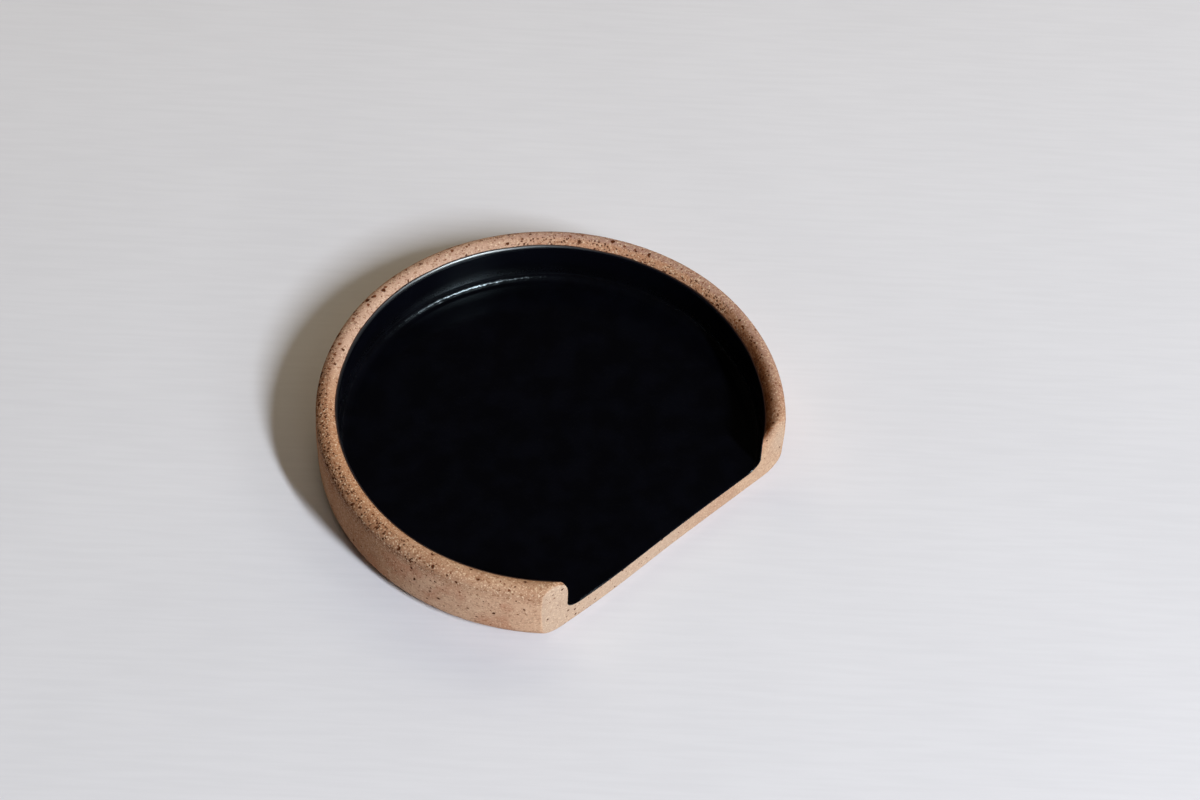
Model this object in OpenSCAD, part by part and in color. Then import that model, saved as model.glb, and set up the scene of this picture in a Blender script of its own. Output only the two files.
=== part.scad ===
// Stoneware spoon rest: a low round dish with one side sliced off straight,
// so that a handle lies out over the open front. Bare speckled clay outside,
// dark glaze inside. Built as a potter builds it: a clay floor, a clay wall
// luted onto it, and the glaze that lines the inside.
// The origin is the centre of the round foot, on the table. +Z is up, and
// the open front faces -Y.

/* [Dish] */
// Outside diameter of the dish
dish_d = 125; // [90:1:180]
// Height of the rim's crest above the table
dish_h = 20.5; // [14:0.1:36]
// Depth of the slice taken off the front
slice_depth = 17.6; // [8:0.1:40]

/* [Clay floor] */
// Thickness of the clay floor
floor_t = 6; // [3:0.1:9]
// Radius of the rounding around the foot
foot_r = 4.5; // [1:0.1:8]

/* [Clay wall] */
// Thickness of the clay wall
wall_t = 5.4; // [3:0.1:9]
// Width of the shoulder that falls outwards from the crest
shoulder_w = 2.7; // [1:0.1:4.8]
// Height of the shoulder
shoulder_h = 2.1; // [0.5:0.1:5]
// Height of the rolled lip inside the crest
lip_h = 1.9; // [0.5:0.1:5]
// Radius of the cove between the wall and the floor
cove_r = 3; // [1:0.1:6]

/* [Glaze] */
// Thickness of the fired glaze
glaze_t = 0.4; // [0.2:0.1:0.8]
// How far the glaze climbs around the rolled lip, in degrees
glaze_climb = 27; // [6:1:60]

/* [Smoothness] */
// Steps around the dish
round_steps = 192; // [48:8:360]
// Steps along each rounded edge
edge_steps = 10; // [4:1:24]

/* [Hidden] */
clay_colour = [0.76, 0.60, 0.47];
wall_colour = [0.80, 0.65, 0.52];
glaze_colour = [0.05, 0.05, 0.08];
side_glaze_colour = [0.09, 0.10, 0.14];

dish_r = dish_d / 2;
// Height of the upright part of the wall, above the floor
wall_h = dish_h - floor_t;
// Radius to the inner face of the clay wall
inner_r = dish_r - wall_t;
// Radius to the highest line of the rim
crest_r = dish_r - min(shoulder_w, wall_t);
// The roundings never outgrow the clay that carries them
foot_edge = min(foot_r, floor_t);
shoulder_drop = min(shoulder_h, wall_h);
cove_edge = min(cove_r, wall_h - lip_h);
// Width of the rolled lip, and the height at which it starts to roll over
lip_w = crest_r - inner_r;
lip_z = dish_h - lip_h;
// Radius of the flat part of the floor, inside the cove
flat_r = inner_r - cove_edge;
// Centre of the cove's rounding
cove_z = floor_t + cove_edge;
// Share of the glaze's climb at which it starts to thin out
full_glaze_share = 0.5;
// How far the cutting block reaches past the dish
overrun = 2;

// Points along an elliptical arc about [r, z], from one angle to another.
function edge_arc(r, z, half_w, half_h, from, to) = [
    for (i = [0 : edge_steps])
        let (a = from + (to - from) * i / edge_steps)
            [r + half_w * cos(a), z + half_h * sin(a)]
];

// The block that slices the front of the dish away.
module front_slice() {
    translate([-dish_r - overrun, -dish_r - overrun, -overrun])
        cube([dish_d + 2 * overrun, slice_depth + overrun, dish_h + 2 * overrun]);
}

// A profile turned about the dish's centre and sliced along the front.
module turned_and_sliced(profile) {
    difference() {
        rotate_extrude($fn = round_steps) polygon(profile);
        front_slice();
    }
}

// The clay floor, whose rounded rim is the foot of the dish.
module clay_floor() {
    profile = concat(
        [[0, 0]],
        edge_arc(dish_r - foot_edge, foot_edge, foot_edge, foot_edge, -90, 0),
        [[dish_r, floor_t], [0, floor_t]]
    );
    color(clay_colour) turned_and_sliced(profile);
}

// The clay wall on the floor's edge: a sloping shoulder outside the crest,
// a small rolled lip inside it and a cove at its foot.
module clay_wall() {
    profile = concat(
        [[dish_r, floor_t]],
        edge_arc(crest_r, dish_h - shoulder_drop, dish_r - crest_r, shoulder_drop, 0, 90),
        edge_arc(crest_r, lip_z, lip_w, lip_h, 90, 180),
        edge_arc(flat_r, cove_z, cove_edge, cove_edge, 0, -90)
    );
    color(wall_colour) turned_and_sliced(profile);
}

// The glaze on the flat of the floor, open to the cut edge.
module floor_glaze() {
    glaze_top = floor_t + glaze_t;
    color(glaze_colour)
        turned_and_sliced([[0, floor_t], [flat_r, floor_t], [flat_r, glaze_top], [0, glaze_top]]);
}

// The glaze that runs up the cove and the wall and thins out on the lip.
module wall_glaze() {
    edge_angle = 180 - glaze_climb;
    full_angle = 180 - glaze_climb * full_glaze_share;
    profile = concat(
        edge_arc(flat_r, cove_z, cove_edge, cove_edge, -90, 0),
        edge_arc(crest_r, lip_z, lip_w, lip_h, 180, edge_angle),
        edge_arc(crest_r, lip_z, lip_w + glaze_t, lip_h + glaze_t, full_angle, 180),
        edge_arc(flat_r, cove_z, cove_edge - glaze_t, cove_edge - glaze_t, 0, -90)
    );
    color(side_glaze_colour) turned_and_sliced(profile);
}

clay_floor();
clay_wall();
floor_glaze();
wall_glaze();
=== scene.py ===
# %% [markdown]
# # A stoneware spoon rest
# The real thing is a low round dish of buff, iron-specked stoneware. One side is sliced off
# straight, so that a handle lies out over the cut. The inside has a satin blue-black glaze,
# and the rim, the outside and the cut are bare clay. This lesson builds it around the packed
# model: four pieces, a clay floor, a clay wall, the floor's glaze and the wall's glaze.
# %% Load the frame
import math
from types import SimpleNamespace

import bmesh
import bpy
import numpy as np
from mathutils import Matrix
from mathutils import Quaternion
from mathutils import Vector


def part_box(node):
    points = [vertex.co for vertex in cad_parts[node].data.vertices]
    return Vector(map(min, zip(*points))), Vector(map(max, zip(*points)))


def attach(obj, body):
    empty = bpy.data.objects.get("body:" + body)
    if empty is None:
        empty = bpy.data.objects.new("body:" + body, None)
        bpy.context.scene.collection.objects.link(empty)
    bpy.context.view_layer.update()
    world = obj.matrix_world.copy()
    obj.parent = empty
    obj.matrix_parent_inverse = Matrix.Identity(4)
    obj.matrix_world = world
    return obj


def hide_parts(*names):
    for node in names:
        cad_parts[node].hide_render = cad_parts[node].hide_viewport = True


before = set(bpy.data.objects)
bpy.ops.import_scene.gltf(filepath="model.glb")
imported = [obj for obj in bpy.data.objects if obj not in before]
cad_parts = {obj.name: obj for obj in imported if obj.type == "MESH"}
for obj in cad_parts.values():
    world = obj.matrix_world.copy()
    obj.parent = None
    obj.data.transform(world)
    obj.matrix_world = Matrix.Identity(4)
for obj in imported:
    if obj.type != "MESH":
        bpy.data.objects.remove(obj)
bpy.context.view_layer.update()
print("nodes:", sorted(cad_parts))

# %% [markdown]
# ## Sizes
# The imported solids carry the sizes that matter: the outside, the height, the cut and the
# floor. Reading them from the frame keeps the dressed pieces where the solids are. The few
# sizes inside the wall's section are the ones that the solids were drawn with.
# %% Sizes in metres
mm = 0.001
wall_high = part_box("clay_wall")[1]
floor_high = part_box("clay_floor")[1]
floor_glaze_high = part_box("floor_glaze")[1]
dish_r = wall_high.x
dish_h = wall_high.z
cut_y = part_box("clay_wall")[0].y
floor_t = floor_high.z
flat_r = floor_glaze_high.x
glaze_t = floor_glaze_high.z - floor_high.z
wall_t = 5.4 * mm
shoulder_w = 2.7 * mm
shoulder_h = 2.1 * mm
lip_h = 1.9 * mm
foot_r = 4.5 * mm
inner_r = dish_r - wall_t
crest_r = dish_r - shoulder_w
cove_r = inner_r - flat_r
lip_w = crest_r - inner_r
lip_z = dish_h - lip_h
glaze_climb = 27
print("radius, height, cut, floor, flat, glaze in mm:",
      [round(v / mm, 2) for v in (dish_r, dish_h, cut_y, floor_t, flat_r, glaze_t)])

# %% [markdown]
# ## The section of the dish
# A thrown dish is one section carried around a circle. The section is kept as points of
# radius and height. Elliptical arcs round the foot, the sloping shoulder, the rolled lip and
# the cove, and straight runs join them. The whole section, clay and glaze together, is kept
# too, because the softened edges are worked out from it.
# %% Points of a section
def arc(r, z, half_w, half_h, start, end, steps):
    """Points r + half_w cos a, z + half_h sin a, while a turns from start to end degrees."""
    turn = np.radians(np.linspace(start, end, steps))
    return np.stack([r + half_w * np.cos(turn), z + half_h * np.sin(turn)], axis=-1)


def straight(start, end, steps):
    """Points start + share (end - start), with share from 0 to 1 in equal steps."""
    share = np.linspace(0, 1, steps)[:, None]
    return np.array(start) * (1 - share) + np.array(end) * share


def joined(*runs):
    """The runs one after another, each without the point that the last one ended on."""
    return np.concatenate([runs[0]] + [run[1:] for run in runs[1:]])


# %% The clay's outside and inside, both from low to high and with as many points
cove_z = floor_t + cove_r
shoulder_z = dish_h - shoulder_h
cove_steps = 17
wall_steps = 15
glaze_lip_steps = 12
outside = joined(
    straight([dish_r, floor_t], [dish_r, shoulder_z], steps=22),
    arc(crest_r, shoulder_z, shoulder_w, shoulder_h, 0, 90, steps=27))
inside = joined(
    arc(flat_r, cove_z, cove_r, cove_r, -90, 0, cove_steps),
    straight([inner_r, cove_z], [inner_r, lip_z], wall_steps),
    arc(crest_r, lip_z, lip_w, lip_h, 180, 90, steps=18))
print("points outside and inside:", len(outside), len(inside))

# %% The glaze's face over the clay, and its back against it
def glaze_face(edge_turn, cove=cove_steps, wall=wall_steps, lip=glaze_lip_steps):
    """The inside moved in by the glaze's thickness, from the cove's foot to the glaze's edge.

    On the lip the thickness falls to nothing as sqrt(1 - share^2), like the edge of a drop.
    """
    thin_r = cove_r - glaze_t
    share = np.linspace(0, 1, lip)
    thick = glaze_t * np.sqrt(1 - share ** 2)
    turn = np.radians(180 - edge_turn * share)
    over_lip = np.stack([crest_r + (lip_w + thick) * np.cos(turn),
                         lip_z + (lip_h + thick) * np.sin(turn)], axis=-1)
    return joined(
        arc(flat_r, cove_z, thin_r, thin_r, -90, 0, cove),
        straight([inner_r - glaze_t, cove_z], [inner_r - glaze_t, lip_z], wall),
        over_lip)


def glaze_back(edge_turn):
    """The clay's inside that the glaze covers, up to the glaze's edge."""
    return joined(
        arc(flat_r, cove_z, cove_r, cove_r, -90, 0, cove_steps),
        straight([inner_r, cove_z], [inner_r, lip_z], wall_steps),
        arc(crest_r, lip_z, lip_w, lip_h, 180, 180 - edge_turn, glaze_lip_steps))


# %% The whole section, clay and glaze together
glaze_top = floor_t + glaze_t
foot = arc(dish_r - foot_r, foot_r, foot_r, foot_r, -90, 0, steps=14)
section = joined(
    straight([0, 0], [dish_r - foot_r, 0], steps=2),
    arc(dish_r - foot_r, foot_r, foot_r, foot_r, -90, 0, steps=30),
    straight([dish_r, foot_r], [dish_r, shoulder_z], steps=2),
    arc(crest_r, shoulder_z, shoulder_w, shoulder_h, 0, 90, steps=40),
    arc(crest_r, lip_z, lip_w, lip_h, 90, 180 - glaze_climb, steps=20),
    glaze_face(glaze_climb, cove=24, wall=2, lip=20)[::-1],
    straight([flat_r, glaze_top], [0, glaze_top], steps=2))
print("points of the whole section:", len(section))

# %% [markdown]
# ## Turning the section, and the slice
# Each point of the section is carried around its own circle, from the cut on one side to the
# cut on the other. A circle of radius r meets the cut where cos(angle) = cut / r, so its ends
# fall exactly on the cut. The columns crowd together near the cut, where the edge is
# rounded, and spread out behind.
# %% Columns around the dish
end_steps = np.array([0, .1, .2, .32, .46, .62, .8, 1, 1.25, 1.55, 1.9, 2.4, 3, 3.8, 4.8]) * mm
even_columns = 216
ring_length = dish_r * (2 * math.pi - 2 * math.acos(-cut_y / dish_r))
end_shares = end_steps / ring_length
middle = np.linspace(end_shares[-1], 1 - end_shares[-1], even_columns)[1:-1]
columns = np.concatenate([end_shares, middle, 1 - end_shares[::-1]])
print("columns:", len(columns))


def ring_turn(r):
    """Angles of the columns for circles of radius r, in one more axis in front of r's."""
    ends = np.arccos(np.clip(-cut_y / np.maximum(r, 1e-9), -1, 1))
    share = columns.reshape((-1,) + (1,) * np.ndim(r))
    return ends - math.pi / 2 + share * 2 * (math.pi - ends)


def turned(profile):
    """The grid of points r cos t, r sin t, z for a profile, or for one profile a column."""
    r = profile[..., 0]
    if profile.ndim == 2:
        t = ring_turn(r)
    else:
        ends = np.arccos(-cut_y / r)
        t = ends - math.pi / 2 + columns[:, None] * 2 * (math.pi - ends)
    z = profile[..., 1] + 0 * t
    return np.stack([r * np.cos(t), r * np.sin(t), z], axis=-1)


def on_cut(profile, side):
    """The points at which a profile meets the cut: x = side sqrt(r^2 - cut^2)."""
    x = side * np.sqrt(np.maximum(profile[..., 0] ** 2 - cut_y ** 2, 0))
    return np.stack([x, np.full_like(x, cut_y), profile[..., 1]], axis=-1)


# %% Points across a wall's cut end
across = np.array([0, .012, .025, .04, .06, .085, .12, .17, .25, .36, .48, .6, .71, .8,
                   .865, .91, .94, .96, .975, .988, 1])


def cut_end(one, other, side, shares=across):
    """A grid between two profiles in the cut's plane: one + share (other - one)."""
    start = on_cut(one, side)[:, None, :]
    end = on_cut(other, side)[:, None, :]
    return start + (end - start) * shares[None, :, None]


# %% [markdown]
# ## The sponged edges
# After slicing, a potter wipes the cut with a damp sponge, so that its edges are round and
# the thin inner corners of the wall's ends wear down. A Bevel modifier would need one clean
# edge to work on, and here the edge crosses the grid. So each point near the cut is drawn in
# to a rounded surface worked out from two distances: a, out of the turned section, and b,
# out past the cut. With a ball of radius k the surface is where
# length(max(a + k, 0), max(b + k, 0)) = k, and a few Newton steps bring a point to it.
# %% Distance to the turned section
seg_start = section[:-1]
seg_step = section[1:] - section[:-1]
seg_long = np.hypot(seg_step[:, 0], seg_step[:, 1])
seg_out = np.stack([seg_step[:, 1], -seg_step[:, 0]], axis=-1) / seg_long[:, None]


def skin_distance(points):
    """Signed distance to the turned section, above zero outside, and its direction."""
    r = np.hypot(points[:, 0], points[:, 1])
    flat = np.stack([r, points[:, 2]], axis=-1)
    offset = flat[:, None, :] - seg_start
    share = np.clip((offset * seg_step).sum(-1) / seg_long ** 2, 0, 1)
    gap = np.linalg.norm(offset - share[..., None] * seg_step, axis=-1)
    nearest = gap.argmin(1)
    row = np.arange(len(points))
    out = seg_out[nearest]
    side = np.sign((offset[row, nearest] * out).sum(-1))
    way = np.stack([out[:, 0] * points[:, 0] / r, out[:, 0] * points[:, 1] / r, out[:, 1]], -1)
    return gap[row, nearest] * side, way


# %% The sponge: the small radius of the edge, and the larger ones of the worn corners
edge_ball = 0.55 * mm
inner_corner_r = inner_r + 0.6 * mm
inner_corner_x = math.sqrt(inner_corner_r ** 2 - cut_y ** 2)
worn_left = 2.6 * mm
worn_right = 1.3 * mm
worn_reach = 3.4 * mm
newton_steps = 12
least_slope = 0.05
print("worn corners at x =", round(inner_corner_x / mm, 2), "mm on both sides")


def ball_radius(points):
    """The edge's radius: small along the cut, and larger at the wall ends' inner corners."""
    ball = np.full(len(points), edge_ball)
    for side, worn in ((-1, worn_left), (1, worn_right)):
        corner = np.array([side * inner_corner_x, cut_y, dish_h])
        away = np.linalg.norm((points - corner) / worn_reach, axis=1)
        ball = ball + (worn - edge_ball) * np.exp(-away ** 2)
    return ball


def sponged(points):
    """Points near the cut drawn in to the rounded edge, and all others as they were."""
    shape = points.shape
    points = points.reshape(-1, 3).copy()
    near = np.flatnonzero(points[:, 1] < cut_y + worn_left + mm)
    moving = points[near]
    for _ in range(newton_steps):
        ball = ball_radius(moving)
        a, way = skin_distance(moving)
        b = cut_y - moving[:, 1]
        a_in = np.maximum(a + ball, 0)
        b_in = np.maximum(b + ball, 0)
        length = np.hypot(a_in, b_in)
        out = np.where((a_in > 0) & (b_in > 0), length - ball, np.maximum(a, b))
        slope = (a_in[:, None] * way + b_in[:, None] * np.array([0, -1, 0]))
        slope = slope / np.maximum(length, 1e-9)[:, None]
        steep = np.maximum((slope ** 2).sum(1), least_slope)
        step = np.where((out > 0) & (b > -ball), out, 0) / steep
        moving = moving - step[:, None] * slope
    points[near] = moving
    return points.reshape(shape)


# %% [markdown]
# ## The hand in it
# A thrown dish is never a perfect turning. The wall leans a hair in and out, the rim rises
# and falls by a tenth of a millimetre, and the outside swells a little above its middle. On
# the right the lip has sagged inwards, the wire that made the cut wandered out on the left,
# and fingers left shallow rings on the floor. All this is one formula of the place that
# moves every piece alike, so that pieces that touch still touch.
# %% Sizes of the hand's marks
swell_out = 0.22 * mm
swell_z = 12.5 * mm
swell_reach = 5 * mm
sag_mean = 0.55 * mm
sag_swing = 0.65 * mm
sag_angle = math.radians(-35)
sag_foot_z = 12 * mm
sag_edge_r = dish_r - 1.3 * mm
dimple_up = 0.05 * mm
dimple_gap = 11 * mm
bow_out = 0.65 * mm
bow_x = -21 * mm
bow_reach = 18 * mm
bow_depth = 14 * mm
middle_r = 0.8 * flat_r
print("largest sag, bow and swell in mm:",
      [round(v / mm, 2) for v in (sag_mean + sag_swing, bow_out, swell_out)])

# %% Slow waves
def smooth(low, high, value):
    """Rises from 0 at low to 1 at high along 3 s^2 - 2 s^3."""
    s = np.clip((value - low) / (high - low), 0, 1)
    return s * s * (3 - 2 * s)


def handmade(points):
    """Points moved out, up and towards -Y by the waves, the sag, the rings and the bow.

    The waves are sums of sines of the angle t, in millimetres. The sag is a mean plus a
    cosine around its angle and grows inwards over the rim. The rings are a sine of the
    radius, and the bow is a bell curve of x that fades out behind the cut.
    """
    x, y, z = points[..., 0], points[..., 1], points[..., 2]
    r = np.maximum(np.hypot(x, y), 1e-9)
    t = np.arctan2(y, x)
    lean = 0.10 * np.sin(2 * t + 0.6) + 0.06 * np.sin(3 * t + 2.4) + 0.025 * np.sin(8 * t + 1)
    rise = 0.09 * np.sin(2 * t + 2.2) + 0.05 * np.sin(5 * t + 0.4) + 0.025 * np.sin(11 * t)
    swell = swell_out * np.exp(-((z - swell_z) / swell_reach) ** 2) * smooth(inner_r, dish_r, r)
    out = (lean * mm * smooth(0, dish_h, z) + swell) * smooth(middle_r, inner_r, r)
    up = rise * mm * smooth(floor_t + 3 * mm, dish_h, z)
    sag = np.maximum(sag_mean + sag_swing * np.cos(t - sag_angle), 0)
    slope = np.clip((sag_edge_r - r) / (sag_edge_r - inner_r), 0, 1)
    up = up - sag * slope * smooth(sag_foot_z, lip_z, z)
    dimple = dimple_up * np.sin(2 * math.pi * r / dimple_gap + t)
    up = up + dimple * smooth(floor_t - mm, floor_t, z) * (1 - smooth(middle_r, flat_r, r))
    bow = bow_out * np.exp(-((x - bow_x) / bow_reach) ** 2)
    bow = bow * (1 - smooth(cut_y, cut_y + bow_depth, y))
    return np.stack([x + out * x / r, y + out * y / r - bow, z + up], axis=-1)


# %% [markdown]
# ## From grids to a mesh
# A piece is a few grids of points. Each grid gives its quads by index arithmetic, the grids
# are put one after another, and points that fall together are merged, which closes seams,
# poles and the ends. The merged shell is closed, so Blender can turn all its faces outwards.
# Faces where two pieces touch can't be seen. A grid marks them as joint faces, because they
# must not turn the shading of the visible faces beside them.
# %% Build a piece
same_place = 0.0001 * mm
merge_gap = 0.002 * mm
sliver = 0.001 * mm


def quads_of(rows, cols, first):
    """Corners of the quads of a rows by cols grid whose first point has the number first."""
    i = np.arange(rows - 1)[:, None] * cols + np.arange(cols - 1)[None, :] + first
    return np.stack([i, i + 1, i + cols + 1, i + cols], axis=-1).reshape(-1, 4)


def joint_faces(grid, first=0, last=0):
    """A mark for each quad of a grid: 1 where the columns run from first up to last."""
    marks = np.zeros((grid.shape[0] - 1, grid.shape[1] - 1), dtype=np.int32)
    marks[:, first:last] = 1
    return marks


def piece_of(name, grids, joints, thin=None):
    """A closed mesh object from grids of points, each softened and waved like the others.

    joints holds the joint marks of each grid. thin holds an array for each grid, how thin
    the glaze is there, for the finish to read.
    """
    quads = []
    count = 0
    for grid in grids:
        rows, cols = grid.shape[:2]
        quads.append(quads_of(rows, cols, count))
        count += rows * cols
    quads = np.concatenate(quads)
    points = np.concatenate([grid.reshape(-1, 3) for grid in grids])
    cell = np.round(points / same_place).astype(np.int64)
    _, first, group = np.unique(cell, axis=0, return_index=True, return_inverse=True)
    points = handmade(sponged(points[first]))[group.ravel()]
    mesh = bpy.data.meshes.new(name)
    mesh.from_pydata(points, [], quads)
    layer = mesh.attributes.new("joint", "INT", "FACE")
    layer.data.foreach_set("value", np.concatenate([marks.ravel() for marks in joints]))
    if thin:
        layer = mesh.attributes.new("thin", "FLOAT", "POINT")
        layer.data.foreach_set("value", np.concatenate([t.ravel() for t in thin]))
    form = bmesh.new()
    form.from_mesh(mesh)
    bmesh.ops.remove_doubles(form, verts=form.verts, dist=merge_gap)
    bmesh.ops.dissolve_degenerate(form, edges=form.edges, dist=sliver)
    bmesh.ops.recalc_face_normals(form, faces=form.faces)
    loose = sum(1 for edge in form.edges if len(edge.link_faces) != 2)
    volume = form.calc_volume(signed=True)
    form.to_mesh(mesh)
    form.free()
    mesh.shade_smooth()
    obj = bpy.data.objects.new(name, mesh)
    bpy.context.scene.collection.objects.link(obj)
    print(name, "faces:", len(mesh.polygons), "open edges:", loose,
          "volume mm3:", round(volume / mm ** 3, 1))
    return obj


# %% [markdown]
# ## The clay wall
# The wall is a C-shaped strip: its section is a closed loop, up the outside, over the crest,
# down the inside and back along the joint with the floor. Turned, it gives a tube from cut
# to cut, and a grid in the cut's plane closes each end.
# %% Clay wall
seat_x = on_cut(np.array([[dish_r, floor_t], [flat_r, floor_t]]), 1)[:, 0]
seat_ends = seat_x[0] + (seat_x[1] - seat_x[0]) * across
seat_r = np.hypot(seat_ends, cut_y)
seat = np.stack([seat_r, np.full_like(seat_r, floor_t)], axis=-1)
wall_loop = joined(outside, inside[::-1], seat[::-1])
wall_grids = [turned(wall_loop), cut_end(outside, inside, 1), cut_end(outside, inside, -1)]
seat_start = len(wall_loop) - len(seat)
stoneware_wall = piece_of("stoneware_wall", wall_grids, [
    joint_faces(wall_grids[0], seat_start, len(wall_loop)),
    joint_faces(wall_grids[1]),
    joint_faces(wall_grids[2])])

# %% [markdown]
# ## The clay floor
# The floor is a slab with a rounded foot. Its points lie on rays from the middle, and a ray
# that would leave over the cut stops at it: its distance is the smaller of the section's
# radius and cut / sin(angle). Along the cut the rays end where the wall's end has its own
# points, so that the two pieces meet point to point and the joint can't be seen.
# %% Rays over the cut
level = 1e-6
very_far = 1e3


def rays_of(ring_r, shares_x):
    """Angles all the way round: the ring's columns, then the cut from its -X end to +X."""
    x = np.concatenate([shares_x, -shares_x[::-1]])
    gap = np.arctan2(np.full_like(x, cut_y), x)
    ring = ring_turn(np.array(ring_r))
    return np.concatenate([ring, gap + 2 * math.pi])


def to_cut(angles):
    """How far each ray goes before it meets the cut, or very far if it never does."""
    down = -np.sin(angles)
    return np.where(down > level, -cut_y / np.maximum(down, level), very_far)


even_reach = 12 * mm
middle_x = np.linspace(-seat_x[1], 0, 22)
edge_gap = np.array([0, .1, .2, .32, .46, .62, .8, 1.05, 1.4, 2, 3, 4.5, 6.5, 9, 12, 15.5, 19.5,
                     24, 29, 34, 39, 42, 44, 45.5]) * mm
print("rows from the edge to the middle:", len(edge_gap) + 1)


def slab_rows(angles, radius, z):
    """Rows of points on rays: from the slab's edge, or the cut, in to its middle.

    Near the edge the rows keep their distance from it. Further in, past even_reach, they
    also keep their share of the way, so that all of them end in the middle.
    """
    edge = np.minimum(radius, to_cut(angles))[:, None]
    inset = np.append(edge_gap, dish_r)
    share = inset / inset[-1]
    fine = np.minimum(inset / edge, 1)
    row = 1 - np.where(inset < even_reach, fine, np.maximum(fine, share))
    r = edge * np.clip(row, 0, 1)
    return np.stack([r * np.cos(angles)[:, None], r * np.sin(angles)[:, None],
                     np.full_like(r, z)], axis=-1)


def side_rows(angles, profile):
    """Rows of points up a slab's side: the profile's radius, or the cut if it is nearer."""
    r = np.minimum(profile[None, :, 0], to_cut(angles)[:, None])
    z = profile[None, :, 1] + 0 * r
    return np.stack([r * np.cos(angles)[:, None], r * np.sin(angles)[:, None], z], axis=-1)


# %% Clay floor
floor_rays = rays_of(dish_r, -np.concatenate([seat_ends, -middle_x[1:-1]]))
floor_side = joined(foot, straight([dish_r, foot_r], [dish_r, floor_t], steps=8))
floor_grids = [
    slab_rows(floor_rays, dish_r - foot_r, 0),
    side_rows(floor_rays, floor_side),
    slab_rows(floor_rays, dish_r, floor_t)]
stoneware_floor = piece_of("stoneware_floor", floor_grids, [
    joint_faces(floor_grids[0]),
    joint_faces(floor_grids[1]),
    joint_faces(floor_grids[2], 0, len(edge_gap))])

# %% [markdown]
# ## The glaze
# The glaze is a coat about 0.4 mm thick. On the floor it is a thin slab that runs to the
# cut, and on the wall it is a thin C-shaped strip. Its upper edge wanders a little along the
# lip, as a dipped and wiped edge does, and thins out there.
# %% Floor glaze
glaze_rays = rays_of(flat_r, middle_x[:-1])
glaze_side = straight([flat_r, floor_t], [flat_r, glaze_top], steps=4)
glaze_grids = [
    slab_rows(glaze_rays, flat_r, floor_t),
    side_rows(glaze_rays, glaze_side),
    slab_rows(glaze_rays, flat_r, glaze_top)]
ring_side = joint_faces(glaze_grids[1], 0, len(glaze_side))
ring_side[len(columns):] = 0
glaze_floor = piece_of("glaze_floor", glaze_grids, [
    joint_faces(glaze_grids[0], 0, len(edge_gap)),
    ring_side,
    joint_faces(glaze_grids[2])])

# %% How far the wall's glaze climbs, column by column
turn_here = ring_turn(np.array(inner_r))
climb_wave = 2.6 * np.sin(3 * turn_here + 0.5) + 1.8 * np.sin(7 * turn_here + 2)
climb_wave = climb_wave + 1.3 * np.sin(16 * turn_here + 1) + 0.9 * np.sin(29 * turn_here)
calm_share = 0.03
end_calm = smooth(0, calm_share, columns) * smooth(0, calm_share, 1 - columns)
back_angle = math.radians(78)
back_reach = math.radians(32)
back_climb = 11 * np.exp(-((turn_here - back_angle) / back_reach) ** 2)
climbs = glaze_climb + back_climb + climb_wave * end_calm
print("climb of the glaze in degrees:", round(climbs.min(), 1), "to", round(climbs.max(), 1))

# %% Wall glaze
faces = np.stack([glaze_face(turn) for turn in climbs])
backs = np.stack([glaze_back(turn) for turn in climbs])
sides = np.broadcast_to(glaze_side[::-1], (len(columns),) + glaze_side.shape)
glaze_loop = np.concatenate([backs, faces[:, ::-1][:, 1:], sides[:, 1:]], axis=1)
glaze_end = np.linspace(0, 1, 4)
face_thin = np.concatenate([np.zeros(cove_steps + wall_steps - 1),
                            np.linspace(0, 1, glaze_lip_steps)[1:]])
loop_thin = np.concatenate([face_thin, face_thin[::-1][1:], np.zeros(len(glaze_side) - 1)])
grid_thin = np.broadcast_to(loop_thin, glaze_loop.shape[:2])
end_thin = np.broadcast_to(face_thin[:, None], (len(face_thin), len(glaze_end)))
glaze_grids = [
    turned(glaze_loop),
    cut_end(backs[0], faces[0], 1, glaze_end),
    cut_end(backs[-1], faces[-1], -1, glaze_end)]
tube_joints = joint_faces(glaze_grids[0], 0, backs.shape[1] - 1)
tube_joints[:, 1 - len(glaze_side):] = 1
glaze_wall = piece_of("glaze_wall", glaze_grids, [
    tube_joints,
    joint_faces(glaze_grids[1]),
    joint_faces(glaze_grids[2])], [grid_thin, end_thin, end_thin])

# %% [markdown]
# ## One skin over the joints
# A real dish has no lines where the floor meets the wall, or the floor's glaze the wall's.
# Here these are pieces of their own, and each would shade its border by itself. So the
# direction that a corner shades with is worked out over all pieces together: the area-
# weighted sum of the visible faces that meet at its place. Joint faces stay flat.
# %% Shading directions shared by the pieces
meeting_gap = 0.01 * mm


def corner_facts(piece):
    """For each face corner of a piece: its place, its face's direction times area, its mark."""
    mesh = piece.data
    corners = len(mesh.loops)
    faces = len(mesh.polygons)
    vertex = np.empty(corners, dtype=np.int32)
    mesh.loops.foreach_get("vertex_index", vertex)
    place = np.empty(len(mesh.vertices) * 3)
    mesh.vertices.foreach_get("co", place)
    sides = np.empty(faces, dtype=np.int32)
    mesh.polygons.foreach_get("loop_total", sides)
    direction = np.empty(faces * 3)
    mesh.polygons.foreach_get("normal", direction)
    area = np.empty(faces)
    mesh.polygons.foreach_get("area", area)
    mark = np.empty(faces, dtype=np.int32)
    mesh.attributes["joint"].data.foreach_get("value", mark)
    push = direction.reshape(-1, 3) * area[:, None]
    return (place.reshape(-1, 3)[vertex], np.repeat(push, sides, axis=0),
            np.repeat(mark, sides))


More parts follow.
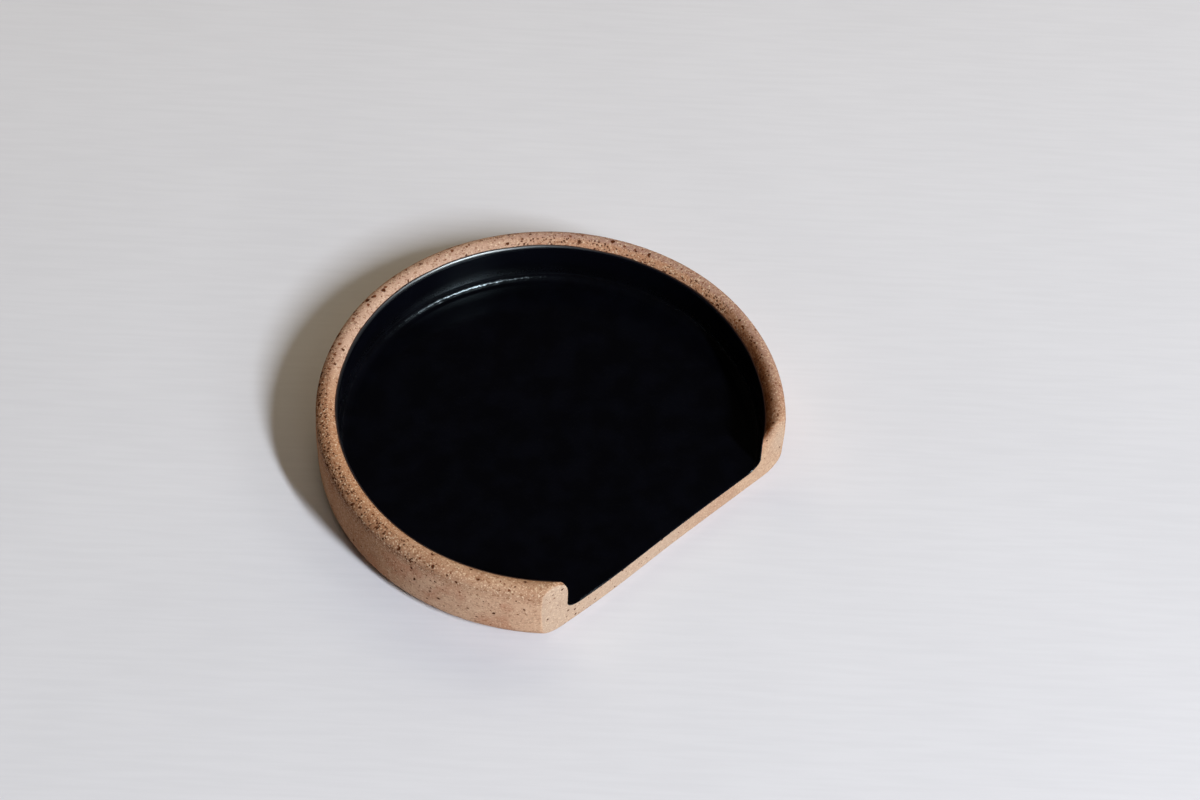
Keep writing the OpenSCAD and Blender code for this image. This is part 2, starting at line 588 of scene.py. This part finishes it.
def share_shading(pieces):
    """Gives each visible corner the sum of the visible faces at its place, made unit long."""
    facts = [corner_facts(piece) for piece in pieces]
    place = np.concatenate([fact[0] for fact in facts])
    push = np.concatenate([fact[1] for fact in facts])
    mark = np.concatenate([fact[2] for fact in facts])
    cell = np.round(place / meeting_gap).astype(np.int64)
    _, group = np.unique(cell, axis=0, return_inverse=True)
    group = group.ravel()
    total = np.zeros((group.max() + 1, 3))
    np.add.at(total, group, push * (mark == 0)[:, None])
    chosen = np.where((mark == 0)[:, None], total[group], push)
    chosen = chosen / np.maximum(np.linalg.norm(chosen, axis=1), 1e-20)[:, None]
    start = 0
    for piece, fact in zip(pieces, facts):
        piece.data.normals_split_custom_set(chosen[start:start + len(fact[0])])
        start += len(fact[0])
    return len(total)


shared = share_shading([stoneware_wall, stoneware_floor, glaze_floor, glaze_wall])
print("places with a shading direction:", shared)

# %% [markdown]
# ## Shader maths
# A finish is a node tree. Written node by node it's hard to read, so a socket is wrapped in
# a small class on which + - * / add Math nodes, and one method adds any other node: first
# its settings, then the values or links of its sockets.
# %% A socket that can be used in sums
class Value:
    """A socket of a finish. An operator on it adds a Math node and gives its result."""

    def __init__(self, finish, socket):
        self.finish = finish
        self.socket = socket

    def __add__(self, other):
        return self.finish.math("ADD", self, other)

    def __radd__(self, other):
        return self.finish.math("ADD", other, self)

    def __sub__(self, other):
        return self.finish.math("SUBTRACT", self, other)

    def __rsub__(self, other):
        return self.finish.math("SUBTRACT", other, self)

    def __mul__(self, other):
        return self.finish.math("MULTIPLY", self, other)

    def __rmul__(self, other):
        return self.finish.math("MULTIPLY", other, self)

    def __truediv__(self, other):
        return self.finish.math("DIVIDE", self, other)


class Finish:
    """A material whose nodes are added by its methods."""

    def __init__(self, name):
        self.material = bpy.data.materials.new(name)
        self.material.use_nodes = True
        self.tree = self.material.node_tree
        self.tree.nodes.clear()
        self.place = self.value("ShaderNodeTexCoord", output="Object")

    def add(self, kind, settings=None, sockets=None):
        """Any node: its settings first, then the values or links of its sockets."""
        node = self.tree.nodes.new(kind)
        for key, setting in (settings or {}).items():
            setattr(node, key, setting)
        for key, given in (sockets or {}).items():
            if isinstance(given, Value):
                self.tree.links.new(given.socket, node.inputs[key])
            else:
                node.inputs[key].default_value = given
        return node

    def value(self, kind, settings=None, sockets=None, output=0):
        """The output of any node, as a value."""
        return Value(self, self.add(kind, settings, sockets).outputs[output])

    def math(self, operation, *values):
        """A Math node's result."""
        return self.value("ShaderNodeMath", {"operation": operation}, dict(enumerate(values)))

    def mix(self, one, other, share):
        """A colour between one and other, on the sockets that a Mix node has for colours."""
        return self.value("ShaderNodeMix", {"data_type": "RGBA"},
                          {0: share, 6: one, 7: other}, output=2)

    def ramp(self, value, low, high, start=0.0, end=1.0):
        """A smooth rise from start to end while the value goes from low to high."""
        return self.value(
            "ShaderNodeMapRange", {"interpolation_type": "SMOOTHSTEP"},
            {"Value": value, "From Min": low, "From Max": high, "To Min": start, "To Max": end})

    def band(self, value, rise_from, rise_to, fall_from, fall_to):
        """A mask that rises to 1, stays there and falls back to 0 while the value grows."""
        return self.ramp(value, rise_from, rise_to) * self.ramp(value, fall_to, fall_from)

    def moved(self, shift):
        """The place on the piece, moved along all three axes, so that patterns differ."""
        return self.value("ShaderNodeMapping", {"vector_type": "POINT"},
                          {"Vector": self.place, "Location": (shift, shift, shift)})

    def noise(self, size, detail, shift, rough=0.5):
        """Noise of about 0 to 1 whose lumps are some size across, in metres."""
        return self.value(
            "ShaderNodeTexNoise", None,
            {"Vector": self.moved(shift), "Scale": 1 / size, "Detail": detail,
             "Roughness": rough})

    def specks(self, gap, radius, share, shift, where=1.0):
        """Uneven specks: one in each cell of a size, for a share of the cells, up to a radius.

        A Voronoi cell's random colour picks both the cells that have a speck and its size.
        Fine noise pushes the place about, so that no speck is quite round. The specks shrink
        to nothing where the last value does.
        """
        place = self.moved(shift)
        shake = self.add("ShaderNodeTexNoise", None,
                         {"Vector": place, "Scale": 0.7 / radius, "Detail": 1.0})
        spread = 1.3 * radius
        shaken = self.value("ShaderNodeVectorMath", {"operation": "MULTIPLY_ADD"},
                            {0: Value(self, shake.outputs["Color"]), 1: (spread,) * 3, 2: place})
        cells = self.add("ShaderNodeTexVoronoi", {"feature": "F1"},
                         {"Vector": shaken, "Scale": 1 / gap})
        random = self.add("ShaderNodeSeparateColor", None,
                          {"Color": Value(self, cells.outputs["Color"])})
        here = self.math("LESS_THAN", Value(self, random.outputs["Green"]), share)
        reach = (Value(self, random.outputs["Red"]) * 0.65 + 0.35) * (radius / gap)
        inside = 1 - Value(self, cells.outputs["Distance"]) / (reach * where + 1e-4)
        return self.ramp(inside, 0.0, 0.45) * here

    def bumped(self, height):
        """The surface's direction, tilted by a height that is given in millimetres."""
        return self.value("ShaderNodeBump", None,
                          {"Height": height, "Distance": 1 * mm, "Strength": 1.0})

    def surface(self, fixed, **changing):
        """The material's surface: fixed numbers on the shader's sockets, and what changes."""
        names = {"colour": "Base Color", "roughness": "Roughness", "normal": "Normal",
                 "coat": "Coat Weight"}
        sockets = dict(fixed)
        for key, given in changing.items():
            sockets[names[key]] = given
        shader = self.value("ShaderNodeBsdfPrincipled", None, sockets)
        self.add("ShaderNodeOutputMaterial", None, {"Surface": shader})
        return self.material


# %% [markdown]
# ## Bare stoneware
# Unglazed stoneware is matt and sandy. Its colour drifts between orange buff and cream, the
# iron in it has burnt to brown specks, and coarse grains stand out or have been torn out.
# It isn't the same all over, so the finish first marks places: the rim and its two halves,
# the cut, and stretches around the ring. Trimming tore grains out along the left shoulder,
# and wiping did so on the right half of the rim; the pits are painted dark, partly as painted
# shade in them. The outer shoulder on the left and the inner right half of the rim are painted
# browner, partly for the trimming, wiping and iron and partly as painted shade. The left side
# of the wall is a deeper orange, partly redder clay and partly painted shade. The back of the
# rim is pinker and calmer, the front of the wall is paler, partly paler clay and partly painted
# light, and the cut is smooth and pale. Every pattern reads the place on the piece, so the wall
# and the floor have one finish without a join.
# %% Colours of the clay
buff = (0.522, 0.302, 0.181, 1)
toasted = (0.399, 0.2, 0.109, 1)
pale_buff = (0.558, 0.362, 0.229, 1)
# Paler front of the wall near the cut: partly paler clay, partly painted light.
cream_and_light = (0.600, 0.380, 0.260, 1)
rust = (0.42, 0.174, 0.096, 1)
rim_tan = (0.43, 0.25, 0.165, 1)
back_pink = (0.60, 0.42, 0.35, 1)
# Deeper orange on the left side of the wall: partly redder clay, partly painted shade.
orange_clay_and_shade = (0.384, 0.167, 0.072, 1)
# Brown on the inner right half of the rim: partly wiping and iron, partly painted shade.
wiped_and_shaded_brown = (0.478, 0.225, 0.123, 1)
# Browner outer shoulder: partly torn grains from trimming, partly painted shade where it turns
# from the light.
trimmed_and_shaded_brown = (0.246, 0.109, 0.055, 1)
cool_brown = (0.25, 0.15, 0.17, 1)
cut_cream = (0.475, 0.345, 0.258, 1)
# Dark brown on the inner right half of the rim: partly an iron stain, partly painted shade.
stain_and_shade_brown = (0.10, 0.031, 0.010, 1)
dark_grain = (0.217, 0.09, 0.041, 1)
light_sand = (0.812, 0.609, 0.42, 1)
cream_grain = (0.899, 0.696, 0.507, 1)
speck_brown = (0.15, 0.040, 0.012, 1)
iron_black = (0.075, 0.018, 0.005, 1)
# Dark brown in the torn pits: partly iron, partly painted shade inside them.
pit_brown_and_shade = (0.075, 0.022, 0.009, 1)
print("the clay is darkened by iron from", buff[:3], "down to", iron_black[:3])

# %% Places on the clay
rim_from_z = 15 * mm
rim_full_z = 18.8 * mm


def beside(x, y, r, angle, edge, full):
    """A mask that is 1 around one angle of the dish, from cosines of edge up to full."""
    turn = math.radians(angle)
    cosine = (x * math.cos(turn) + y * math.sin(turn)) / r
    return x.finish.ramp(cosine, edge, full)


def clay_places(clay):
    """Masks that are 1 in a place of the dish and 0 away from it, and two slow noises."""
    parts = clay.add("ShaderNodeSeparateXYZ", None, {0: clay.place})
    x, y, z = (Value(clay, parts.outputs[i]) for i in range(3))
    r = clay.math("SQRT", x * x + y * y)
    drift = clay.noise(9 * mm, detail=3, shift=0.31)
    patch = clay.noise(3.2 * mm, detail=3, shift=0.77)
    cut = clay.ramp(y, cut_y + 0.2 * mm, cut_y - 0.15 * mm)
    rim = clay.ramp(z + (patch - 0.5) * (3 * mm), rim_from_z, rim_full_z) * (1 - cut)
    outer = rim * clay.ramp(r + patch * mm, crest_r - 0.6 * mm, crest_r + 0.7 * mm)
    inner = rim * clay.ramp(r + patch * mm, crest_r + 1.5 * mm, inner_r + 1.5 * mm)
    front = clay.ramp(y, -1 * mm, -19 * mm) * clay.ramp(x, 10 * mm, -20 * mm) * (1 - rim)
    return SimpleNamespace(
        drift=drift, patch=patch, cut=cut, rim=rim, outer=outer, inner=inner, front=front,
        upper=clay.ramp(z, 6 * mm, 11 * mm),
        left=beside(x, y, r, 159, 0.62, 0.92),
        right=beside(x, y, r, 8, 0.45, 0.9),
        back=rim * beside(x, y, r, 85, 0.3, 0.9),
        # The left side, where the wall lies in shade: painted a deeper orange as painted shade,
        # partly redder clay.
        shade=beside(x, y, r, 158, 0.80, 0.97) * (1 - cut),
        # The inner right half of the rim, painted dark brown: partly an iron stain, partly
        # painted shade.
        stain_and_shade=inner * beside(x, y, r, -38, 0.75, 0.985))


# %% Grains, specks and pits
def clay_grains(clay, at):
    """Fine grain and sand, cream grains, iron specks, small dots and torn pits."""
    edge = at.outer * clay.math("MAXIMUM", at.left, at.back * 0.55)
    torn_here = clay.math("MAXIMUM", edge * clay.ramp(at.patch, 0.34, 0.48, 0.5, 1.0),
                          clay.ramp(at.inner * at.right, 0.12, 0.45)
                          * clay.ramp(at.patch, 0.38, 0.52, 0.5, 0.95))
    iron_here = (0.8 + 0.2 * at.rim - 0.2 * at.cut + 0.1 * at.front
                 + 0.25 * at.inner * at.right + 0.4 * at.outer * at.back)
    dots_here = (0.5 + 0.25 * at.upper + 0.25 * at.rim + 0.15 * at.front
                 + (0.7 * at.outer - 0.25 * at.inner) * at.back)
    return SimpleNamespace(
        grain=clay.noise(0.85 * mm, detail=3, shift=0.13, rough=0.65),
        sand=clay.noise(0.5 * mm, detail=2, shift=0.52, rough=0.6),
        rough=clay.math("MAXIMUM", edge, at.inner * at.right),
        cream=clay.specks(gap=1.0 * mm, radius=0.36 * mm, share=0.6, shift=0.91,
                          where=0.6 + 0.4 * at.rim),
        iron=clay.specks(gap=2.4 * mm, radius=0.72 * mm, share=0.75, shift=0.43,
                         where=iron_here),
        dots=clay.specks(gap=1.5 * mm, radius=0.46 * mm, share=0.6, shift=0.17,
                         where=dots_here),
        torn=clay.specks(gap=0.76 * mm, radius=0.48 * mm, share=1.0, shift=0.65,
                         where=torn_here))


# %% Colour of the clay
def clay_colour(clay, at, grains):
    """The clay's body, and over it, layer by layer, its places, with painted shade and light
    among them, its sand and its specks.
    """
    dark_share = 0.52 + 0.2 * at.rim - 0.28 * at.cut
    sand_share = (0.47 + 0.17 * at.rim - 0.22 * at.back) * (1 - 0.85 * at.stain_and_shade)
    layers = [
        (toasted, clay.ramp(at.drift, 0.35, 0.66)),
        (pale_buff, clay.ramp(at.patch, 0.42, 0.72) * 0.6),
        # Front of the wall: partly paler clay, partly painted light.
        (cream_and_light, at.front * 0.65),
        (rust, clay.ramp(at.drift, 0.50, 0.62) * (1 - at.rim) * (0.45 - 0.38 * at.cut)),
        (rim_tan, at.rim * 0.5),
        (back_pink, at.back * 0.42),
        # Left side of the wall: partly redder clay, partly painted shade.
        (orange_clay_and_shade, at.shade * 0.55),
        # Inner right half of the rim: partly wiped iron brown, partly painted shade.
        (wiped_and_shaded_brown, at.inner * at.right * 0.72),
        # Outer shoulder at the left and back: partly trimming, partly painted shade.
        (trimmed_and_shaded_brown, at.outer * (at.left * 0.45 + at.back * 0.16)),
        (cool_brown, at.outer * at.right * 0.35),
        (cut_cream, at.cut * 0.85),
        # Dark brown on the inner right rim: partly an iron stain, partly painted shade.
        (stain_and_shade_brown, at.stain_and_shade * (0.8 + 0.4 * at.patch)),
        (dark_grain, clay.ramp(grains.grain, 0.50, 0.66) * dark_share),
        (light_sand, clay.ramp(grains.sand, 0.52, 0.70) * sand_share),
        (cream_grain, grains.cream * (0.38 + 0.1 * at.rim) * (1 - at.stain_and_shade)),
        (speck_brown, grains.dots * 0.9),
        (iron_black, grains.iron * 0.98),
        # Torn pits: partly iron, partly painted shade inside them.
        (pit_brown_and_shade, grains.torn * 0.95),
    ]
    colour = buff
    for shade, share in layers:
        colour = clay.mix(colour, shade, share)
    return colour


# %% Relief of the clay
def clay_relief(clay, at, grains):
    """Heights in millimetres: sand where the clay is rough, raised grains, pits and drift."""
    coarse = (1 - 0.6 * at.inner) * (1 - 0.7 * at.cut)
    coarse = coarse * (0.45 + 0.35 * at.rim + 0.4 * grains.rough)
    height = (grains.grain * 0.16 + grains.sand * 0.09) * coarse
    height = height + grains.cream * 0.06 - grains.torn * 0.08
    height = height - grains.iron * 0.05 - grains.dots * 0.04
    height = height + at.patch * 0.10 * (1 - at.cut)
    return height + at.drift * 0.2 * (1 - at.rim) * (1 - at.cut)


# %% Stoneware finish
def stoneware():
    """Matt clay whose colour, relief and roughness follow its places and its grains."""
    clay = Finish("bare_clay_finish")
    at = clay_places(clay)
    grains = clay_grains(clay, at)
    return clay.surface({"Specular IOR Level": 0.03},
                        colour=clay_colour(clay, at, grains),
                        roughness=0.82 + 0.12 * grains.grain,
                        normal=clay.bumped(clay_relief(clay, at, grains)))


bare_clay = stoneware()
print("nodes of the stoneware:", len(bare_clay.node_tree.nodes))

# %% [markdown]
# ## Satin glaze
# The glaze is a dark glass full of iron and cobalt, almost black, with a blue sheen. Up the
# wall its colour is a little bluer and lighter, as a painted sheen. Where it is thin, at its
# edge on the lip, it breaks to brown and loses its shine. Throwing marks and the pull of the
# molten glass leave soft waves in it. They are deepest where it pools in the cove, and there
# they break up the highlight. The rolled lip catches a wide soft gleam, which a rougher coat
# over the glass gives. A few specks of dust lie on the floor's glaze.
# %% Colours of the glaze
deep_glaze = (0.0012, 0.0012, 0.0020, 1)
cloudy_glaze = (0.0018, 0.0019, 0.0034, 1)
# Painted sheen: the glaze up the wall is painted bluer and lighter.
wall_sheen_blue = (0.0020, 0.0023, 0.0046, 1)
thin_brown = (0.05, 0.018, 0.009, 1)
dust_grey = (0.30, 0.30, 0.32, 1)
sheen = (0.84, 0.94, 1.0, 1)
print("the glaze is thinnest on the lip, above", round(lip_z / mm, 2), "mm")

# %% Glaze finish
def satin_glaze():
    """Dark glass with soft waves, brown where it is thin, with a wide gleam on the lip."""
    glass = Finish("dark_glaze_finish")
    parts = glass.add("ShaderNodeSeparateXYZ", None, {0: glass.place})
    z = Value(glass, parts.outputs[2])
    thin = glass.value("ShaderNodeAttribute", {"attribute_name": "thin"}, output="Fac")
    cloud = glass.noise(8 * mm, detail=3, shift=0.21)
    wave = glass.noise(2.2 * mm, detail=2, shift=0.63)
    skin = glass.noise(0.5 * mm, detail=2, shift=0.37)
    dust = glass.specks(gap=7 * mm, radius=0.16 * mm, share=0.10, shift=0.71)
    up_wall = glass.ramp(z, floor_t + 4 * mm, floor_t + 9 * mm)
    pool = glass.band(z, floor_t + 0.5 * mm, floor_t + 0.9 * mm,
                      floor_t + 1.8 * mm, floor_t + 2.8 * mm)
    above = glass.band(z, floor_t + 1.7 * mm, floor_t + 2.3 * mm,
                       floor_t + 4 * mm, floor_t + 7 * mm)
    lip = glass.ramp(z, lip_z - 0.3 * mm, lip_z + 0.3 * mm)

    colour = glass.mix(deep_glaze, cloudy_glaze, glass.ramp(cloud, 0.35, 0.7))
    # Painted sheen: bluer and lighter up the wall.
    colour = glass.mix(colour, wall_sheen_blue, up_wall * 0.6)
    colour = glass.mix(colour, thin_brown, glass.ramp(thin + 0.2 * skin, 0.8, 1.1))
    colour = glass.mix(colour, dust_grey, dust * (1 - up_wall))
    height = wave * (0.008 + 0.17 * pool) + skin * 0.0022 + dust * 0.02
    rough = 0.10 + 0.04 * cloud + 0.03 * skin + 0.16 * lip + 0.06 * pool + 0.14 * above
    rough = rough + 0.3 * glass.ramp(thin, 0.4, 0.9)
    return glass.surface({"Specular IOR Level": 0.44, "Specular Tint": sheen,
                          "Coat Roughness": 0.38, "Coat IOR": 2.2},
                         colour=colour, normal=glass.bumped(height), coat=lip,
                         roughness=rough)


dark_glaze = satin_glaze()
print("nodes of the glaze:", len(dark_glaze.node_tree.nodes))

# %% [markdown]
# ## Dressing the pieces
# Two finishes dress the four pieces. Each piece rides on the one body and takes the place of
# its imported solid, which is hidden.
# %% Dress the pieces
for piece in (stoneware_wall, stoneware_floor):
    piece.data.materials.append(bare_clay)
for piece in (glaze_floor, glaze_wall):
    piece.data.materials.append(dark_glaze)
print("dressed:", [piece.name for piece in (stoneware_wall, stoneware_floor,
                                            glaze_floor, glaze_wall)])

# %% Ride and replace
pieces = {
    "clay_wall": (stoneware_wall, "bare_clay"),
    "clay_floor": (stoneware_floor, "bare_clay"),
    "floor_glaze": (glaze_floor, "dark_glaze"),
    "wall_glaze": (glaze_wall, "dark_glaze"),
}
for node, (piece, slot) in pieces.items():
    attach(piece, "root")
    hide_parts(node)

# %% [markdown]
# ## Floor, light and camera
# The dish stands on a plain pale floor, whose white paint has faint streaks from the brush.
# A narrow window in front throws the shadow behind the dish. It leans over, as a gap between
# two blinds would, so the shadow is sharper on one side. Weak lights beside it soften the
# front, and two warm ones behind the dish lift its shadow. None of these is mirrored. Two
# more lights are only mirrored: they draw the highlight along the cove and the gleam on the
# lip. Keeping the two kinds apart leaves the rest of the glaze black.
# %% Pale floor
floor_size = 6
streak_angle = math.radians(-44)
bpy.ops.mesh.primitive_plane_add(size=floor_size)
table = bpy.context.object
table.name = "pale_floor"


def pale_paint():
    """White paint with faint streaks from the brush, all in one direction."""
    paint = Finish("pale_floor_finish")
    along = paint.value("ShaderNodeMapping", {"vector_type": "TEXTURE"},
                        {"Vector": paint.place, "Rotation": (0, 0, streak_angle),
                         "Scale": (14, 1, 1)})
    streak = paint.value("ShaderNodeTexNoise", None,
                         {"Vector": along, "Scale": 1 / (1.6 * mm), "Detail": 3.0})
    cloud = paint.noise(60 * mm, detail=2, shift=0.4)
    shade = paint.ramp(streak, 0.3, 0.7) * 0.6 + paint.ramp(cloud, 0.3, 0.7) * 0.4
    colour = paint.mix((0.680, 0.672, 0.721, 1), (0.715, 0.707, 0.757, 1), shade)
    return paint.surface({"Specular IOR Level": 0.2}, colour=colour,
                         roughness=0.55 + 0.1 * streak, normal=paint.bumped(streak * 0.03))


table.data.materials.append(pale_paint())
print("floor:", floor_size, "m across")

# %% Lights
light_far = 2


def towards(azimuth, elevation):
    """Unit vector from the dish to a place at an azimuth from the front and a height angle."""
    turn = math.radians(azimuth)
    rise = math.radians(elevation)
    return Vector((math.sin(turn) * math.cos(rise), -math.cos(turn) * math.cos(rise),
                   math.sin(rise)))


def area_light(name, azimuth, elevation, width, height, power, colour, shiny=False, lean=0):
    """An oblong area light that faces the dish from light_far away, leaning by some degrees.

    A plain one lights surfaces and isn't mirrored in them. A shiny one is only mirrored.
    """
    data = bpy.data.lights.new(name, "AREA")
    data.shape = "RECTANGLE"
    data.size = width
    data.size_y = height
    data.energy = power
    data.color = colour
    light = bpy.data.objects.new(name, data)
    place = towards(azimuth, elevation)
    light.location = place * light_far
    facing = place.to_track_quat("Z", "Y") @ Quaternion((0, 0, 1), math.radians(lean))
    light.rotation_euler = facing.to_euler()
    light.visible_glossy = shiny
    light.visible_diffuse = not shiny
    bpy.context.scene.collection.objects.link(light)


area_light("window", -3, 39.5, 0.12, 0.62, 46, (0.90, 0.96, 1.0), lean=-22)
area_light("window_side", 26, 38, 0.34, 0.5, 2.6, (0.95, 0.98, 1.0))
area_light("window_low", -2, 22, 0.5, 0.4, 3.5, (1.0, 1.0, 1.0))
area_light("window_left", -24, 46, 0.4, 0.4, 1.2, (1.0, 0.93, 0.86))
area_light("fill_right", 96, 34, 1.6, 1.2, 6.0, (1.0, 0.83, 0.56))
area_light("fill_back", 150, 44, 1.6, 1.2, 10.5, (1.0, 0.86, 0.60))
area_light("gleam", 4, 39, 0.56, 0.22, 26, (0.84, 0.95, 1.0), shiny=True)
area_light("gleam_wide", 2, 39, 1.6, 0.22, 13, (0.84, 0.95, 1.0), shiny=True)
print("lights:", sorted(light.name for light in bpy.data.lights))

# %% Room and view
world = bpy.data.worlds.new("room")
bpy.context.scene.world = world
world.use_nodes = True
background = world.node_tree.nodes["Background"]
background.inputs["Color"].default_value = (1, 0.86, 0.72, 1)
background.inputs["Strength"].default_value = 0.009
bpy.context.scene.view_settings.view_transform = "Standard"
print("view transform:", bpy.context.scene.view_settings.view_transform)

# %% [markdown]
# ## Camera
# The camera stands high on the left of the open front. It was fitted to the rim, the foot
# and the cut of the real dish, and is given here by its focal length, the place of the
# dish's middle in the picture, both in pixels, its direction from the dish and its roll.
# %% Camera
photo_w = 1200
photo_h = 800
focal_px = 2881.6
dish_column = 551.63
dish_row = 451.20
camera_azimuth = -44.016
camera_elevation = 51.733
camera_distance = 12.5 * dish_r
camera_roll = -2.205
place = towards(camera_azimuth, camera_elevation)
ahead = -place
right = ahead.cross(Vector((0, 0, 1))).normalized()
up = right.cross(ahead)
pan = math.atan((dish_column - photo_w / 2) / focal_px)
turn_pan = Matrix.Rotation(pan, 3, up)
tilt = math.atan((dish_row - photo_h / 2) / focal_px)
camera_data = bpy.data.cameras.new("camera")
camera_data.sensor_width = 36
camera_data.lens = focal_px / photo_w * camera_data.sensor_width
camera_data.clip_start = 10 * mm
camera = bpy.data.objects.new("camera", camera_data)
bpy.context.scene.collection.objects.link(camera)
bpy.context.scene.camera = camera
ahead = turn_pan @ ahead
right = turn_pan @ right
turn_tilt = Matrix.Rotation(tilt, 3, right)
ahead = turn_tilt @ ahead
up = turn_tilt @ up
turn_roll = Matrix.Rotation(math.radians(camera_roll), 3, ahead)
right = turn_roll @ right
up = turn_roll @ up
pose = Matrix((right, up, -ahead)).transposed().to_4x4()
pose.translation = place * camera_distance
camera.matrix_world = pose
print("lens:", round(camera_data.lens, 2), "mm, distance:", round(camera_distance, 3), "m")
